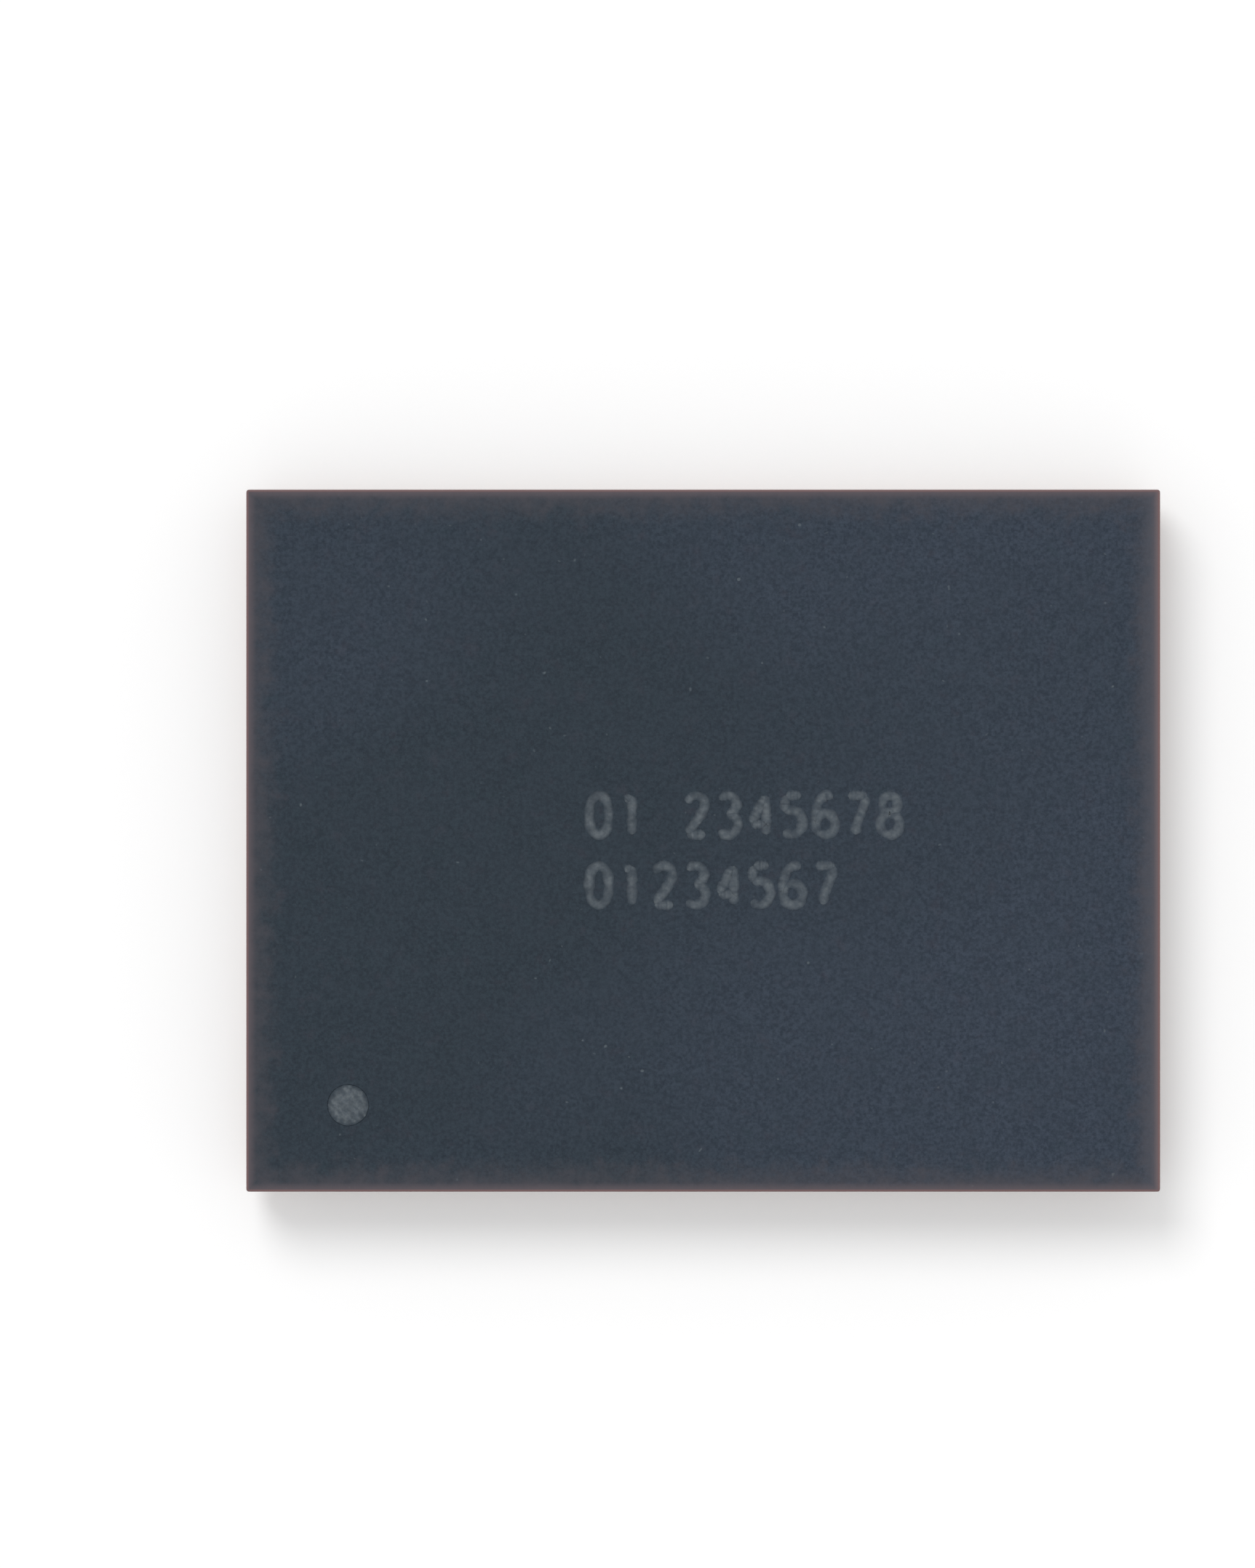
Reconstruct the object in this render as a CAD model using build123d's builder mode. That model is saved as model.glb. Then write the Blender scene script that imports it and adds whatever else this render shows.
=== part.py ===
from build123d import *
import os
from math import cos, radians, sin

os.makedirs("parts", exist_ok=True)

# A chip-scale ball grid array, in millimetres. It lies as it is soldered: balls down, the dark
# coated back of the die up. The origin is under the die's centre, in the plane of the ball tips,
# with +X along the die's longer side.

# Ball array
columns = 13
rows = 10
pitch = 0.4
ball_diameter = 0.246
ball_sides = 8
ball_latitudes = (-60, -30, 0)
neck_latitude = 31.4

# Centres of the outer balls to the die's short edges, and to the long edge near the pin-one dot
end_margin = 0.292
dot_side_margin = 0.248

# Layers, from the copper up to the dark back
copper_thickness = 0.009
film_thickness = 0.016
circuit_thickness = 0.010
silicon_thickness = 0.3
coating_thickness = 0.04

# Steps at the die's edge
circuit_inset = 0.004
film_inset = 0.02
seal_ring_inset = 0.007
seal_ring_width = 0.006
seal_ring_thickness = 0.004

# Copper
pad_width = 0.26
pad_sides = 8
ear_reach = 0.155
ear_width = 0.05
ear_rise = 31
low_ear_columns = 2
land_radius = 0.03
land_sides = 6
trace_width = 0.05
fine_width = 0.021
trace_gap = 0.012
bus_width = 0.052
wide_bus_width = 0.1
bus_inset = 0.03
corner_cut = 0.155
trunk_width = 0.08
ground_width = 0.092
return_width = 0.07

# Pin-one dot in the dark back
dot_diameter = 0.244
dot_depth = 0.006
dot_from_end = 0.6
dot_from_side = 0.51

# The long edge away from the dot leaves room for two fine lines and the bus beside the pads
side_margin = pad_width / 2 + 2 * fine_width + 3 * trace_gap + bus_width + bus_inset

# The die, and the first ball: the upper left one as the ball side is seen, where +X is to the left
die_length = (columns - 1) * pitch + 2 * end_margin
die_width = (rows - 1) * pitch + side_margin + dot_side_margin
first_x = die_length / 2 - end_margin
first_y = die_width / 2 - side_margin

# Heights of the faces between the layers
ball_radius = ball_diameter / 2
pad_face = ball_radius * (1 + sin(radians(neck_latitude)))
film_face = pad_face + copper_thickness
circuit_face = film_face + film_thickness
silicon_face = circuit_face + circuit_thickness
coating_face = silicon_face + silicon_thickness
back_face = coating_face + coating_thickness

copper_plane = Plane.XY.offset(pad_face)
into_die = (0, 0, 1)


def spot(column, row):
    """The plan point so many columns and rows away from the first ball."""
    return Vector(first_x - column * pitch, first_y - row * pitch)


def pads(sites):
    """Add the capture pad of each ball site in the list."""
    with Locations(*[spot(column, row) for column, row in sites]):
        RegularPolygon(pad_width / 2, pad_sides, major_radius=False, rotation=180 / pad_sides)


def ears(sites, turn):
    """Add a short ear that points away from each ball towards -X, turned so far."""
    with Locations(*[Location(spot(column, row), (0, 0, 180 + turn)) for column, row in sites]):
        Rectangle(ear_reach, ear_width, align=(Align.MIN, Align.CENTER))


def lands(sites, radius=land_radius):
    """Add a small land round each via."""
    with Locations(*[spot(column, row) for column, row in sites]):
        RegularPolygon(radius, land_sides)


def band(path, width=trace_width):
    """Add a copper band of even width along plan points, with its bends mitred."""
    steps = [(end - start).normalized() for start, end in zip(path, path[1:])]
    left, right = [], []
    for point, before, after in zip(path, steps[:1] + steps, steps + steps[-1:]):
        across = (before + after).rotate(Axis.Z, 90).normalized()
        reach = width / 2 / across.dot(before.rotate(Axis.Z, 90))
        left.append(point + across * reach)
        right.append(point - across * reach)
    Polygon(*left, *reversed(right))


def trace(sites, width=trace_width):
    """Add a band whose path is given in columns and rows."""
    band([spot(column, row) for column, row in sites], width)


# Lines that run round the die, as columns and rows: the middle of the bus, inside each edge
bus_middle = bus_inset + bus_width / 2
bus_left = -(end_margin - bus_middle) / pitch
bus_right = columns - 1 - bus_left
bus_top = -(side_margin - bus_middle) / pitch
bus_bottom = rows - 1 + (dot_side_margin - bus_middle) / pitch
wide_left = -(end_margin - bus_inset - wide_bus_width / 2) / pitch
cut = corner_cut / pitch
feeder_top = -(pad_width / 2 + trace_gap + fine_width / 2) / pitch
signal_top = feeder_top - (trace_gap + fine_width) / pitch

# Which balls each net joins, as columns and rows from the first ball
trunk_columns = (1.5, 3.5, 5.5)
trunk_branches = ((-0.5, 6), (0.5, 2), (0.5, 4))
trunk_end = 7.2
ground_columns = (8.5, 9.5, 10.5, 11.5)
ground_rows = (2, 4, 6)
signal_column = 0.56
signal_trunk = 7.55
return_row = 7.46
supply_sites = [(7, 1)] + [
    (column + side, row) for column in trunk_columns for side, row in trunk_branches
]
ground_sites = [(7, 0), (12, 0)] + [
    (column - 0.5, row) for column in ground_columns for row in ground_rows
]
signal_sites = [(0, 0), (0, 4)] + [(1, row) for row in (0, 1, 2, 3, 7, 8, 9)] + [(7, 3), (7, 6)]
pour_sites = [(0, 5), (1, 5), (0, 6)]
return_sites = [(column + 0.5, 9) for column in trunk_columns[1:] + ground_columns[1:]]
joined_sites = supply_sites + ground_sites + signal_sites + pour_sites + return_sites
all_sites = [(column, row) for column in range(columns) for row in range(rows)]
lone_sites = [site for site in all_sites if site not in joined_sites]

# Dark coating on the back, with the lasered pin-one dot
with BuildPart() as backside_coating:
    with BuildSketch(Plane.XY.offset(coating_face)):
        Rectangle(die_length, die_width)
    extrude(amount=coating_thickness)
    with BuildSketch(Plane.XY.offset(back_face)):
        with Locations((dot_from_end - die_length / 2, dot_from_side - die_width / 2)):
            Circle(dot_diameter / 2)
    extrude(amount=-dot_depth, mode=Mode.SUBTRACT)
backside_coating.part.label = "backside_coating"
export_step(backside_coating.part, "parts/backside_coating.step")

# Silicon die
with BuildPart() as silicon_die:
    with BuildSketch(Plane.XY.offset(silicon_face)):
        Rectangle(die_length, die_width)
    extrude(amount=silicon_thickness)
silicon_die.part.label = "silicon_die"
export_step(silicon_die.part, "parts/silicon_die.step")

# Circuit layers grown on the die, cut back by the groove along the saw line
with BuildPart() as circuit_layers:
    with BuildSketch(Plane.XY.offset(circuit_face)):
        Rectangle(die_length - 2 * circuit_inset, die_width - 2 * circuit_inset)
    extrude(amount=circuit_thickness)
circuit_layers.part.label = "circuit_layers"
export_step(circuit_layers.part, "parts/circuit_layers.step")

# Metal ring round the circuits, in the strip that the film leaves bare
ring_length = die_length - 2 * seal_ring_inset
ring_width = die_width - 2 * seal_ring_inset
with BuildPart() as seal_ring:
    with BuildSketch(Plane.XY.offset(circuit_face)):
        Rectangle(ring_length, ring_width)
        Rectangle(ring_length - 2 * seal_ring_width, ring_width - 2 * seal_ring_width, mode=Mode.SUBTRACT)
    extrude(amount=-seal_ring_thickness)
seal_ring.part.label = "seal_ring"
export_step(seal_ring.part, "parts/seal_ring.step")

# Polyimide film that carries the copper
with BuildPart() as polyimide_film:
    with BuildSketch(Plane.XY.offset(film_face)):
        Rectangle(die_length - 2 * film_inset, die_width - 2 * film_inset)
    extrude(amount=film_thickness)
polyimide_film.part.label = "polyimide_film"
export_step(polyimide_film.part, "parts/polyimide_film.step")

# Bus round the edge and the ground bands that hang from it
with BuildPart() as perimeter_bus:
    with BuildSketch(copper_plane):
        trace(
            [
                (-0.43, 4.78),
                (bus_left, 4.62),
                (bus_left, bus_top + cut),
                (bus_left + cut, bus_top),
                (bus_right - 2 * cut, bus_top),
                (bus_right, bus_top + 1.6 * cut),
                (bus_right, bus_bottom - cut),
                (bus_right - cut, bus_bottom),
                (bus_left + cut, bus_bottom),
                (bus_left, bus_bottom - cut),
                (bus_left, 6.22),
            ],
            bus_width,
        )
        trace([(wide_left, bus_top + cut), (wide_left, 3.17), (-0.2, 3.5), (0.05, 3.5)], wide_bus_width)
        trace([(0.5, bus_top), (0.5, -0.32), (0.42, -0.2)])
        trace([(7, bus_top), (7, 0)])
        trace([(12, bus_top + 0.4 * cut), (12, 0), (12.35, 0.35), (bus_right, 0.35)])
        for column in ground_columns:
            side = column - 0.13
            trace([(column, bus_top), (column, 0.16), (side, 0.29), (side, 0.62), (column, 0.75)])
            trace([(column, 0.7), (column, trunk_end)], ground_width)
            for row in ground_rows:
                trace([(column, row), (column - 0.5, row)])
        pads(ground_sites)
        lands([(-0.43, 4.78), (0.42, -0.2), (bus_left, 6.22)])
    extrude(amount=copper_thickness, dir=into_die)
perimeter_bus.part.label = "perimeter_bus"
export_step(perimeter_bus.part, "parts/perimeter_bus.step")

# Supply feeder along the first row and its three trunks
with BuildPart() as supply_trunks:
    with BuildSketch(copper_plane):
        trace(
            [(trunk_columns[0], feeder_top), (6.3, feeder_top), (6.5, feeder_top + 0.2), (6.5, 0.5), (7, 1)],
            fine_width,
        )
        for column in trunk_columns:
            trace([(column, feeder_top), (column, trunk_end)], trunk_width)
            lands([(column - 0.12, 0.55)], 2 * land_radius)
            for side, row in trunk_branches:
                trace([(column, row), (column + side, row)])
        pads(supply_sites)
    extrude(amount=copper_thickness, dir=into_die)
supply_trunks.part.label = "supply_trunks"
export_step(supply_trunks.part, "parts/supply_trunks.step")

# Signal lines
with BuildPart() as signal_traces:
    with BuildSketch(copper_plane):
        trace(
            [(0, 0.06), (signal_column - 0.08, 0.06), (signal_column, 0.14), (signal_column, 3.35), (0, 3.91)]
        )
        for row in range(4):
            trace([(1, row), (signal_column, row + 0.44)], fine_width)
        trace([(0.85, signal_top), (6.71, signal_top)], fine_width)
        trace([(7.42, -0.33), (7.42, 0.4), (7.03, 0.54)], fine_width)
        trace([(signal_trunk, 0.62), (signal_trunk, trunk_end)], trunk_width)
        for row in (3, 6):
            trace([(signal_trunk, row), (7, row)])
        trace([(-0.38, 6.42), (0.42, 6.42), (1, 7)], fine_width)
        trace([(-0.38, 7.62), (0.55, 7.62), (0.93, 8)], fine_width)
        trace([(-0.38, 8.6), (0.6, 8.6), (1, 9)], fine_width)
        pads(signal_sites)
        lands([(0.85, signal_top), (6.71, signal_top)], fine_width / 2 + trace_gap / 2)
        lands([(-0.38, 8.6)])
    extrude(amount=copper_thickness, dir=into_die)
signal_traces.part.label = "signal_traces"
export_step(signal_traces.part, "parts/signal_traces.step")

# Pour between the balls of the fifth to seventh rows
with BuildPart() as copper_pour:
    with BuildSketch(copper_plane):
        Polygon(
            spot(0.38, 4.62),
            spot(0.84, 4.62),
            spot(0.62, 4.84),
            spot(0.62, 5.36),
            spot(1.1, 5.36),
            spot(0.62, 5.84),
            spot(0.62, 6.2),
            spot(0.5, 6.32),
            spot(0.38, 6.2),
            spot(0.38, 5.64),
            spot(-0.38, 5.64),
            spot(-0.38, 5.4),
            spot(0.38, 5.4),
        )
        trace([(0, 5), (1, 5)])
        trace([(0, 6), (0.5, 6)])
        pads(pour_sites)
    extrude(amount=copper_thickness, dir=into_die)
copper_pour.part.label = "copper_pour"
export_step(copper_pour.part, "parts/copper_pour.step")

# Return band between the eighth and ninth rows, with its fingers
with BuildPart() as return_band:
    with BuildSketch(copper_plane):
        trace([(-0.38, 7.29), (-0.2, return_row), (columns - 0.65, return_row)], return_width)
        for column, row in return_sites:
            trace([(column - 0.5, return_row), (column - 0.5, row - 0.5), (column, row)])
        pads(return_sites)
    extrude(amount=copper_thickness, dir=into_die)
return_band.part.label = "return_band"
export_step(return_band.part, "parts/return_band.step")

# Pads that drop straight to the circuits through a via in their ear
with BuildPart() as via_pads:
    with BuildSketch(copper_plane):
        pads(lone_sites)
        ears([site for site in lone_sites if site[0] < low_ear_columns], ear_rise)
        ears([site for site in lone_sites if site[0] >= low_ear_columns], -ear_rise)
    extrude(amount=copper_thickness, dir=into_die)
via_pads.part.label = "via_pads"
export_step(via_pads.part, "parts/via_pads.step")

# One solder ball: its tip, then flat-sided sections of the sphere up to the neck, where the pad cuts it
with BuildPart() as ball:
    sections = [Vertex(0, 0, 0)]
    for latitude in (*ball_latitudes, neck_latitude):
        with BuildSketch(Plane.XY.offset(ball_radius * (1 + sin(radians(latitude))))) as section:
            RegularPolygon(ball_radius * cos(radians(latitude)), ball_sides)
        sections.append(section.sketch)
    loft(sections, ruled=True)

# Solder balls, one node for each row, lettered from the side of the pin-one dot
for row, letter in zip(range(rows - 1, -1, -1), "abcdefghjklmnprtuvwy"):
    with BuildPart() as ball_row:
        with Locations(*[spot(column, row) for column in range(columns)]):
            add(ball.part)
    ball_row.part.label = f"ball_row_{letter}"
    export_step(ball_row.part, f"parts/ball_row_{letter}.step")
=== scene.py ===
# %% [markdown]
# # A ball grid array chip, dressed for a close look
#
# The chip is 5.4 mm long and lies as it is soldered: its solder balls down, its dark back up. The
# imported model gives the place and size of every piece. Each cell below makes one piece or one finish
# on top of it. Lengths are in metres, so most are written as so many MM or UM, millimetres or
# microns.

# %% The frame
import math

import bpy
import numpy as np
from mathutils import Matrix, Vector
from mathutils.geometry import delaunay_2d_cdt


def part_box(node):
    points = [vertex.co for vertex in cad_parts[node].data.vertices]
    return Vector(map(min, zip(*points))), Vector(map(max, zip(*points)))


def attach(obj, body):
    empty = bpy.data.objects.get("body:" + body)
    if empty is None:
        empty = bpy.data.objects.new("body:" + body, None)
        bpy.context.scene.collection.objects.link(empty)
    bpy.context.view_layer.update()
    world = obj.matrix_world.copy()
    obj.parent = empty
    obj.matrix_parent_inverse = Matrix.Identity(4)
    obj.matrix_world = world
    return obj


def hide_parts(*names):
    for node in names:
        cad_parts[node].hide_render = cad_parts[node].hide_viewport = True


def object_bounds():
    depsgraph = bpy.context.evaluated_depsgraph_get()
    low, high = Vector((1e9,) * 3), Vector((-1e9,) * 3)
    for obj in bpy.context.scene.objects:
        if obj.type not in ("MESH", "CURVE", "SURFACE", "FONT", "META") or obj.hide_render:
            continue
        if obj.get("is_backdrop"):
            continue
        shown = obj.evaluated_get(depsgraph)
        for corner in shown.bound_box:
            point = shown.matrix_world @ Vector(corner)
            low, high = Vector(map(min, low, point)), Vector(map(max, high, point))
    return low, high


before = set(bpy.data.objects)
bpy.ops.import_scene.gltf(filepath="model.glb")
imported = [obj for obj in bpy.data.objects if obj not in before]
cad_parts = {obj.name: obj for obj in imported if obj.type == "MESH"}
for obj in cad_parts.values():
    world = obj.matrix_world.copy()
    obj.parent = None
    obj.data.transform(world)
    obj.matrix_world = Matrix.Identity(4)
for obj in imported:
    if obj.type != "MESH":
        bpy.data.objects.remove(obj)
cad_low, cad_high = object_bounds()
MM = 0.001
UM = 0.000001
print("the chip measures", [round(side / MM, 4) for side in cad_high - cad_low], "mm")

# %% [markdown]
# ## Camera
#
# A flat chip is pictured from straight above with a long lens, so that its edges stay parallel. The
# field is set so that the picture's height covers the given stretch of the dark face.

# %% Camera straight above the dark face
PICTURE_HEIGHT = 9.241 * MM
CAMERA_DISTANCE = 60 * MM
CAMERA_CENTRE = (-0.446 * MM, 0.334 * MM)
SENSOR = 36.0

back_face = cad_high.z
camera = bpy.data.objects.new("bench_camera", bpy.data.cameras.new("bench_camera"))
camera.data.sensor_width = SENSOR
camera.data.lens = SENSOR * CAMERA_DISTANCE / PICTURE_HEIGHT
camera.data.clip_start = CAMERA_DISTANCE / 100
camera.location = (*CAMERA_CENTRE, back_face + CAMERA_DISTANCE)
bpy.context.scene.collection.objects.link(camera)
bpy.context.scene.camera = camera
print("lens", round(camera.data.lens, 1), "mm on a", SENSOR, "mm sensor")

# %% [markdown]
# ## Helpers for meshes
#
# Every new piece is a surface worked out as whole arrays. A solid is three of them: points,
# four-sided faces and three-sided ones. Most solids are stacks of closed rings: the side of the die,
# a ball, a stroke of the marking. One helper skins such a stack and closes both ends, one joins
# solids, and one makes a mesh object at the origin.

# %% From arrays to a mesh object
def mesh_object(name, solid, *finishes, sharp_angle=None):
    """Make a smooth mesh object of a solid, with edges sharper than an angle in degrees kept sharp."""
    points, quads, triangles = solid
    corners = np.concatenate([np.ravel(quads), np.ravel(triangles)]).astype(np.int32)
    sides = np.concatenate([np.full(len(quads), 4), np.full(len(triangles), 3)])
    starts = np.concatenate([[0], np.cumsum(sides)[:-1]]).astype(np.int32)
    mesh = bpy.data.meshes.new(name)
    mesh.vertices.add(len(points))
    mesh.vertices.foreach_set("co", np.ravel(points).astype(np.float32))
    mesh.loops.add(len(corners))
    mesh.loops.foreach_set("vertex_index", corners)
    mesh.polygons.add(len(sides))
    mesh.polygons.foreach_set("loop_start", starts)
    mesh.polygons.foreach_set("use_smooth", np.ones(len(sides), bool))
    mesh.update(calc_edges=True)
    if sharp_angle is not None:
        mesh.set_sharp_from_angle(angle=math.radians(sharp_angle))
    for finish in finishes:
        mesh.materials.append(finish)
    made = bpy.data.objects.new(name, mesh)
    bpy.context.scene.collection.objects.link(made)
    print(name, len(points), "points", 2 * len(quads) + len(triangles), "triangles")
    return made


def store(made, name, values):
    """Keep a number or a vector for each point of a mesh, for its material to read."""
    values = np.asarray(values, np.float32)
    kind, key = ("FLOAT_VECTOR", "vector") if values.ndim == 2 else ("FLOAT", "value")
    made.data.attributes.new(name, kind, "POINT").data.foreach_set(key, values.ravel())


# %% Stacks of rings and other solids
NO_CAPS = np.empty((0, 3), int)


def raised(plan, height):
    """Points from plan points and a height: one for all, or one for each ring or each point."""
    height = np.broadcast_to(height, plan.shape[:-1])
    return np.concatenate([plan, height[..., None]], axis=-1)


def ring_faces(rings, around, closed=False):
    """Faces between rings stacked upwards, each ring running anticlockwise seen from above. A closed
    stack runs on from its last ring to its first."""
    ring = np.arange(rings if closed else rings - 1)[:, None]
    above = (ring + 1) % rings
    here = np.arange(around)
    after = (here + 1) % around
    low, high = ring * around, above * around
    return np.stack([low + here, low + after, high + after, high + here], axis=-1).reshape(-1, 4)


def fan(middle, first, around):
    """Triangles from a middle point to a ring of points, which starts at the first one."""
    here = np.arange(around)
    return np.stack([np.full(around, middle), first + here, first + (here + 1) % around], axis=-1)


def ring_bowl(rings, middle):
    """A stack of rings that is open at its first ring and closed at its last by a middle point."""
    stack, around, _ = rings.shape
    last = (stack - 1) * around
    points = np.concatenate([rings.reshape(-1, 3), [middle]])
    return points, ring_faces(stack, around), fan(last + around, last, around)


def ring_solid(rings):
    """A stack of rings, an array of rings by points by 3, closed by a centre point at each end."""
    stack, around, _ = rings.shape
    last = (stack - 1) * around
    points = np.concatenate([rings.reshape(-1, 3), [rings[0].mean(axis=0), rings[-1].mean(axis=0)]])
    low_cap, high_cap = fan(last + around, 0, around)[:, ::-1], fan(last + around + 1, last, around)
    return points, ring_faces(stack, around), np.concatenate([low_cap, high_cap])


def joined(solids):
    """Several solids as one."""
    points, quads, caps = zip(*solids)
    shifts = np.cumsum([0] + [len(part) for part in points[:-1]])
    quads = [part + shift for part, shift in zip(quads, shifts)]
    caps = [part + shift for part, shift in zip(caps, shifts)]
    return np.concatenate(points), np.concatenate(quads), np.concatenate(caps)


def weld(points, *faces):
    """Join points that share a place to a hundredth of a micron."""
    key = np.round(points / (0.01 * UM)).astype(np.int64)
    _, first, same = np.unique(key, axis=0, return_index=True, return_inverse=True)
    return points[first], *[same.ravel()[face] for face in faces]


# %% [markdown]
# ## Waves instead of chance
#
# Real surfaces are uneven, but a script has to give the same chip each run. A sum of cosine waves
# with seeded directions and phases gives soft unevenness as one formula over whole arrays. Along the
# outline of the die each wave has a whole number of periods, so the pattern closes on itself.

# %% Sums of waves
def waves_round(turn, periods, seed):
    """cos(2 pi * periods * turn + phase), summed over the periods, over the root of their number. The
    turn runs from 0 to 1 round an outline, and each phase is seeded."""
    phase = np.random.default_rng(seed).uniform(0, 2 * np.pi, len(periods))
    total = np.cos(2 * np.pi * np.multiply.outer(turn, periods) + phase).sum(axis=-1)
    return total / np.sqrt(len(periods))


def waves_over(x, y, shortest, longest, seed, count=40):
    """The same for plane waves over x and y, with seeded directions, phases and wavelengths."""
    chance = np.random.default_rng(seed)
    length = np.exp(chance.uniform(np.log(shortest), np.log(longest), count))
    angle = chance.uniform(0, 2 * np.pi, count)
    phase = chance.uniform(0, 2 * np.pi, count)
    total = np.zeros(np.broadcast(x, y).shape)
    for wave in range(count):
        along = x * np.cos(angle[wave]) + y * np.sin(angle[wave])
        total += np.cos(2 * np.pi * along / length[wave] + phase[wave])
    return total / np.sqrt(count)


# %% [markdown]
# ## Helpers for materials
#
# A finish is a small network of nodes. `put` adds one node and fills or links its sockets, so each
# material below reads from top to bottom. Patterns read Object coordinates, which are true metres on
# the chip, so a grain of 20 microns is written as such.

# %% Nodes in one line each
def put(tree, kind, inputs=None, **settings):
    """Add a node. Settings are its own properties, and inputs are values or outputs to link."""
    made = tree.nodes.new("ShaderNode" + kind)
    for name, value in settings.items():
        setattr(made, name, value)
    for name, value in (inputs or {}).items():
        if isinstance(value, bpy.types.NodeSocket):
            tree.links.new(value, made.inputs[name])
        else:
            made.inputs[name].default_value = value
    return made


def maths(tree, operation, first, second=0.0, clamp=False):
    """A Math node of one operation on one or two values."""
    return put(tree, "Math", {0: first, 1: second}, operation=operation, use_clamp=clamp).outputs[0]


def fade(tree, value, start, end, low=0.0, high=1.0):
    """A Map Range node: low up to start, high from end on, and a smooth change between."""
    ends = {"From Min": start, "From Max": end, "To Min": low, "To Max": high, "Value": value}
    return put(tree, "MapRange", ends, interpolation_type="SMOOTHSTEP").outputs[0]


def linear(red, green, blue):
    """A colour given as it looks, from 0 to 255, as the linear one that a shader reads."""
    seen = np.array([red, green, blue]) / 255
    value = np.where(seen <= 0.04045, seen / 12.92, ((seen + 0.055) / 1.055) ** 2.4)
    return (*value.tolist(), 1.0)


def tint(tree, factor, *colours):
    """A Mix node from one colour to another, each an output or three numbers as the colour looks."""
    first, second = [linear(*shade) if isinstance(shade, tuple) else shade for shade in colours]
    return put(tree, "Mix", {0: factor, 6: first, 7: second}, data_type="RGBA").outputs[2]


def grain(tree, vector, size, detail=2.0, roughness=0.5, stretch=None):
    """A Noise node whose cells are about size across, in metres, or stretched along the axes."""
    if stretch is not None:
        vector = put(tree, "Mapping", {"Vector": vector, "Scale": stretch}).outputs[0]
    values = {"Vector": vector, "Scale": 1 / size, "Detail": detail, "Roughness": roughness}
    return put(tree, "TexNoise", values).outputs["Fac"]


def stored(tree, name, output="Fac"):
    """The number or vector that each point of a mesh keeps under a name."""
    return put(tree, "Attribute", attribute_name=name).outputs[output]


# %% Groups and materials
RELIEF_AND_SHADE = {"Height": "Float", "Shade": "Float"}


def node_group(name, outputs, **numbers):
    """An empty node group. A Vector comes in, and numbers with the value that they have unless a
    material sets them. Outputs give each socket's kind."""
    tree = bpy.data.node_groups.new(name, "ShaderNodeTree")
    tree.interface.new_socket(name="Vector", in_out="INPUT", socket_type="NodeSocketVector")
    for socket, value in numbers.items():
        made = tree.interface.new_socket(name=socket, in_out="INPUT", socket_type="NodeSocketFloat")
        made.default_value = value
    for socket, kind in outputs.items():
        tree.interface.new_socket(name=socket, in_out="OUTPUT", socket_type="NodeSocket" + kind)
    entry, leave = tree.nodes.new("NodeGroupInput"), tree.nodes.new("NodeGroupOutput")
    return tree, entry.outputs, leave.inputs


def use_group(tree, group, vector, **numbers):
    """The outputs of a node group that is placed in a material with its own numbers."""
    return put(tree, "Group", {"Vector": vector, **numbers}, node_tree=group).outputs


def new_material(name, **constants):
    """A material, its tree, its Principled shader with constants set, and Object coordinates."""
    made = bpy.data.materials.new(name)
    made.use_nodes = True
    shader = made.node_tree.nodes["Principled BSDF"]
    for socket, value in constants.items():
        shader.inputs[socket.replace("_", " ")].default_value = value
    return made, made.node_tree, shader, put(made.node_tree, "TexCoord").outputs["Object"]


def finish_with(tree, shader, height, depth, **sockets):
    """Link outputs to the shader's sockets, and a height, with its depth in metres, to its normal."""
    for socket, value in sockets.items():
        tree.links.new(value, shader.inputs[socket.replace("_", " ")])
    bump = put(tree, "Bump", {"Strength": 1.0, "Distance": depth, "Height": height})
    tree.links.new(bump.outputs[0], shader.inputs["Normal"])


def finish_relief(tree, shader, relief, depth, colour, *dullness):
    """The same from a group's outputs, with a roughness that goes with its shade."""
    dull = fade(tree, relief["Shade"], 0.0, 1.0, *dullness)
    finish_with(tree, shader, relief["Height"], depth, Base_Color=colour, Roughness=dull)


# %% [markdown]
# ## Finish: dark coating
#
# The die's back is covered by a filled resin film, laminated and cured. It is a dark slate blue-grey
# with a fine mottle, because filler grains show through. Light is painted into it too: towards its +X
# end it is painted a little paler, and its rim there lighter, as a painted highlight. Towards the sawn
# edge it turns warmer, and the last few microns are reddish brown. The distance to the nearest edge
# gives both zones. The colour is a node group, because the laser marks later start from the same film.

# %% The film's colour as a group
coat_low, coat_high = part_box("backside_coating")
half_length, half_width = coat_high.x, coat_high.y

film_outputs = {"Color": "Color", "Height": "Float"}
tree, film_in, film_out = node_group("dark_film_mottle", film_outputs, Edge=1.0)
film_group, spot = tree, film_in["Vector"]
axes = put(tree, "SeparateXYZ", {0: spot}).outputs
to_end = maths(tree, "SUBTRACT", half_length, maths(tree, "ABSOLUTE", axes["X"]))
to_side = maths(tree, "SUBTRACT", half_width, maths(tree, "ABSOLUTE", axes["Y"]))
to_edge = maths(tree, "MINIMUM", to_end, to_side)
# Distance to the +X end: it is used only to paint light there.
to_painted_lit_end = maths(tree, "SUBTRACT", half_length, axes["X"])

filler = grain(tree, spot, 19 * UM, detail=3.0, roughness=0.65)
sheen = grain(tree, spot, 2.6 * MM, detail=1.0)
clouds = grain(tree, spot, 240 * UM, detail=4.0, roughness=0.6)
blush = grain(tree, spot, 110 * UM, detail=4.0, roughness=0.65)
spots = grain(tree, spot, 46 * UM, detail=1.0)

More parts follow.
